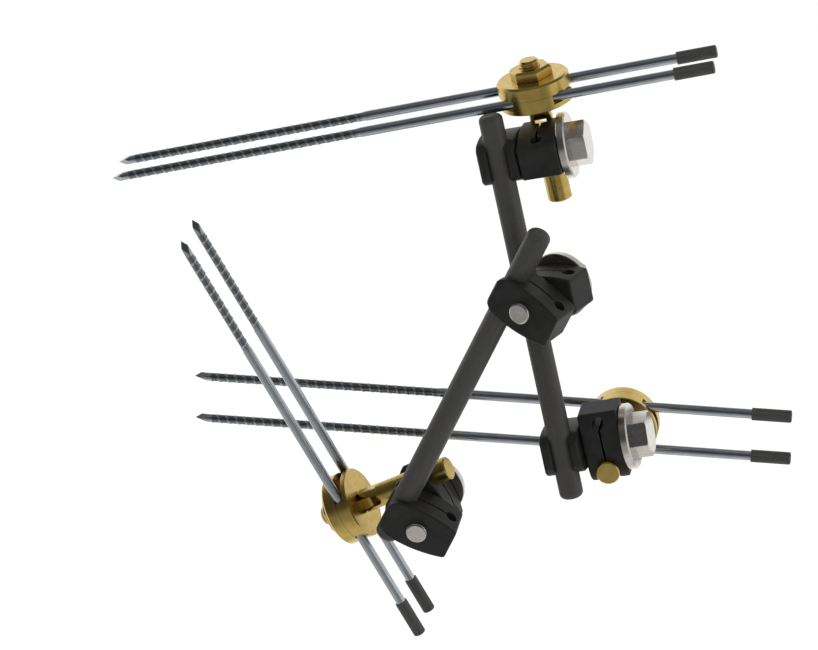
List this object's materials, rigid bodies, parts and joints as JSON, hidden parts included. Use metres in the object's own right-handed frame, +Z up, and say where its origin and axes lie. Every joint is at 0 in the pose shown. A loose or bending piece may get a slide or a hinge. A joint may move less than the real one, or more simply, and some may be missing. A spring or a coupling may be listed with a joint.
{
  "type": "external fixator",
  "caption": "Adjustable external fixator for an upper arm bone: rods and two-jaw clamps hold gold pin clamps, each with a pair of threaded bone pins.",
  "frame": {"origin": "on the axis of the upper front bone pin, where its thread begins, towards the clamps", "axes": "+Z up along the bone; +X away from the bone, towards the pins' capped ends; -Y towards the front"},
  "size_m": [0.1697, 0.0651, 0.1576],
  "materials": {
    "carbon_rod": "carbon fibre, satin",
    "black_jaw": "black anodised, satin",
    "gold_anodised": "gold anodised, satin",
    "bolt_steel": "turned, bright",
    "pin_steel": "polished",
    "hinge_steel": "ground",
    "pin_cap": "matt"
  },
  "bodies": {
    "upper_front_pin": {"upper_front_pin": "pin_steel", "upper_front_cap": "pin_cap"},
    "upper_pin_clamp": {"upper_base": "gold_anodised", "upper_cover": "gold_anodised", "upper_stud": "gold_anodised"},
    "upper_nut": {"upper_nut": "gold_anodised"},
    "upper_rear_pin": {"upper_rear_pin": "pin_steel", "upper_rear_cap": "pin_cap"},
    "upper_post": {"upper_post": "gold_anodised", "upper_hinge_pin": "hinge_steel"},
    "upper_post_jaw": {"upper_post_jaw": "black_jaw"},
    "upper_rod_jaw": {"upper_rod_jaw": "black_jaw"},
    "upper_bolt": {"upper_bolt": "bolt_steel"},
    "main_rod": {"main_rod": "carbon_rod"},
    "lower_rod_jaw": {"lower_rod_jaw": "black_jaw"},
    "lower_post_jaw": {"lower_post_jaw": "black_jaw"},
    "lower_bolt": {"lower_bolt": "bolt_steel"},
    "lower_post": {"lower_post": "gold_anodised", "lower_hinge_pin": "hinge_steel"},
    "lower_pin_clamp": {"lower_base": "gold_anodised", "lower_cover": "gold_anodised", "lower_stud": "gold_anodised"},
    "lower_nut": {"lower_nut": "gold_anodised"},
    "lower_top_pin": {"lower_top_pin": "pin_steel", "lower_top_cap": "pin_cap"},
    "lower_bottom_pin": {"lower_bottom_pin": "pin_steel", "lower_bottom_cap": "pin_cap"},
    "middle_rod_jaw": {"middle_rod_jaw": "black_jaw"},
    "middle_oblique_jaw": {"middle_oblique_jaw": "black_jaw"},
    "middle_bolt": {"middle_bolt": "bolt_steel"},
    "oblique_rod": {"oblique_rod": "carbon_rod"},
    "oblique_rod_jaw": {"oblique_rod_jaw": "black_jaw"},
    "oblique_post_jaw": {"oblique_post_jaw": "black_jaw"},
    "oblique_bolt": {"oblique_bolt": "bolt_steel"},
    "oblique_post": {"oblique_post": "gold_anodised", "oblique_hinge_pin": "hinge_steel"},
    "oblique_pin_clamp": {"oblique_base": "gold_anodised", "oblique_cover": "gold_anodised", "oblique_stud": "gold_anodised"},
    "oblique_nut": {"oblique_nut": "gold_anodised"},
    "oblique_front_pin": {"oblique_front_pin": "pin_steel", "oblique_front_cap": "pin_cap"},
    "oblique_rear_pin": {"oblique_rear_pin": "pin_steel", "oblique_rear_cap": "pin_cap"}
  },
  "joints": [
    {"name": "upper_pin_clamp_slide", "type": "slide", "parent": "upper_front_pin", "child": "upper_pin_clamp", "axis": [0.9695, -0.1204, 0.2134], "range_m": [-0.02, 0.02]},
    {"name": "upper_nut_turn", "type": "hinge", "parent": "upper_pin_clamp", "child": "upper_nut", "pos_m": [0.04303, 0.00046, 0.01002], "axis": [0.2249, 0.0909, -0.9701], "continuous": true},
    {"name": "upper_rear_pin_slide", "type": "slide", "parent": "upper_pin_clamp", "child": "upper_rear_pin", "axis": [0.9695, -0.1204, 0.2134], "range_m": [-0.02, 0.02]},
    {"name": "upper_post_tilt", "type": "hinge", "parent": "upper_pin_clamp", "child": "upper_post", "pos_m": [0.04418, 0.00092, 0.00507], "axis": [0.9695, -0.1204, 0.2134], "range_deg": [-3, 25]},
    {"name": "upper_clamp_turn", "type": "hinge", "parent": "upper_post", "child": "upper_post_jaw", "pos_m": [0.04589, 0.00161, -0.0023], "axis": [0.2249, 0.0909, -0.9701], "range_deg": [-25, 2]},
    {"name": "upper_clamp_swivel", "type": "hinge", "parent": "upper_post_jaw", "child": "upper_rod_jaw", "pos_m": [0.03522, -0.00256, -0.00517], "axis": [-0.962, 0.1788, -0.2062], "range_deg": [-25, 2]},
    {"name": "upper_bolt_turn", "type": "hinge", "parent": "upper_post_jaw", "child": "upper_bolt", "pos_m": [0.03522, -0.00256, -0.00517], "axis": [-0.962, 0.1788, -0.2062], "continuous": true},
    {"name": "main_rod_slide", "type": "slide", "parent": "upper_rod_jaw", "child": "main_rod", "axis": [-0.2096, 0, 0.9778], "range_m": [-0.02, 0.01]},
    {"name": "lower_clamp_turn", "type": "hinge", "parent": "main_rod", "child": "lower_rod_jaw", "pos_m": [0.05011, -0.00856, -0.0798], "axis": [0.2096, 0, -0.9778], "range_deg": [-2, 30]},
    {"name": "lower_clamp_swivel", "type": "hinge", "parent": "lower_rod_jaw", "child": "lower_post_jaw", "pos_m": [0.05125, -0.00257, -0.07956], "axis": [-0.9598, 0.1908, -0.2058], "range_deg": [-12, 15]},
    {"name": "lower_bolt_turn", "type": "hinge", "parent": "lower_rod_jaw", "child": "lower_bolt", "pos_m": [0.05125, -0.00257, -0.07956], "axis": [-0.9598, 0.1908, -0.2058], "continuous": true},
    {"name": "lower_post_slide", "type": "slide", "parent": "lower_post_jaw", "child": "lower_post", "axis": [-0.1624, -0.9757, -0.1471], "range_m": [-0.003, 0.004]},
    {"name": "lower_post_tilt", "type": "hinge", "parent": "lower_post", "child": "lower_pin_clamp", "pos_m": [0.06495, 0.01187, -0.08102], "axis": [0.9867, -0.1607, -0.024], "range_deg": [-25, 25]},
    {"name": "lower_nut_turn", "type": "hinge", "parent": "lower_pin_clamp", "child": "lower_nut", "pos_m": [0.06578, 0.01685, -0.08027], "axis": [-0.1624, -0.9757, -0.1471], "continuous": true},
    {"name": "lower_top_pin_slide", "type": "slide", "parent": "lower_pin_clamp", "child": "lower_top_pin", "axis": [0.9867, -0.1607, -0.024], "range_m": [-0.02, 0.03]},
    {"name": "lower_bottom_pin_slide", "type": "slide", "parent": "lower_pin_clamp", "child": "lower_bottom_pin", "axis": [0.9867, -0.1607, -0.024], "range_m": [-0.02, 0.03]},
    {"name": "middle_clamp_slide", "type": "slide", "parent": "main_rod", "child": "middle_rod_jaw", "axis": [-0.2096, 0, 0.9778], "range_m": [-0.015, 0.008]},
    {"name": "middle_clamp_swivel", "type": "hinge", "parent": "middle_rod_jaw", "child": "middle_oblique_jaw", "pos_m": [0.04649, -0.01157, -0.03762], "axis": [0.483, 0.8695, 0.1035], "range_deg": [-20, 5]},
    {"name": "middle_bolt_turn", "type": "hinge", "parent": "middle_rod_jaw", "child": "middle_bolt", "pos_m": [0.04649, -0.01157, -0.03762], "axis": [0.483, 0.8695, 0.1035], "continuous": true},
    {"name": "oblique_rod_slide", "type": "slide", "parent": "middle_oblique_jaw", "child": "oblique_rod", "axis": [0.379, -0.3142, 0.8704], "range_m": [-0.02, 0.01]},
    {"name": "oblique_clamp_turn", "type": "hinge", "parent": "oblique_rod", "child": "oblique_rod_jaw", "pos_m": [0.00936, 0.00472, -0.09875], "axis": [0.379, -0.3142, 0.8704], "range_deg": [-8, 30]},
    {"name": "oblique_clamp_swivel", "type": "hinge", "parent": "oblique_rod_jaw", "child": "oblique_post_jaw", "pos_m": [0.01488, 0.00432, -0.1013], "axis": [0.1886, 0.9471, 0.2597], "range_deg": [-30, 30]},
    {"name": "oblique_bolt_turn", "type": "hinge", "parent": "oblique_rod_jaw", "child": "oblique_bolt", "pos_m": [0.01488, 0.00432, -0.1013], "axis": [0.1886, 0.9471, 0.2597], "continuous": true},
    {"name": "oblique_post_slide", "type": "slide", "parent": "oblique_post_jaw", "child": "oblique_post", "axis": [0.8497, -0.29, 0.4404], "range_m": [-0.006, 0.003]},
    {"name": "oblique_post_tilt", "type": "hinge", "parent": "oblique_post", "child": "oblique_pin_clamp", "pos_m": [0.00231, 0.01696, -0.09938], "axis": [0.4849, 0.1011, -0.8687], "range_deg": [-25, 25]},
    {"name": "oblique_nut_turn", "type": "hinge", "parent": "oblique_pin_clamp", "child": "oblique_nut", "pos_m": [-0.00202, 0.01844, -0.10163], "axis": [0.8497, -0.29, 0.4404], "continuous": true},
    {"name": "oblique_front_pin_slide", "type": "slide", "parent": "oblique_pin_clamp", "child": "oblique_front_pin", "axis": [0.4849, 0.1011, -0.8687], "range_m": [-0.017, 0.02]},
    {"name": "oblique_rear_pin_slide", "type": "slide", "parent": "oblique_pin_clamp", "child": "oblique_rear_pin", "axis": [0.4849, 0.1011, -0.8687], "range_m": [-0.017, 0.02]}
  ]
}
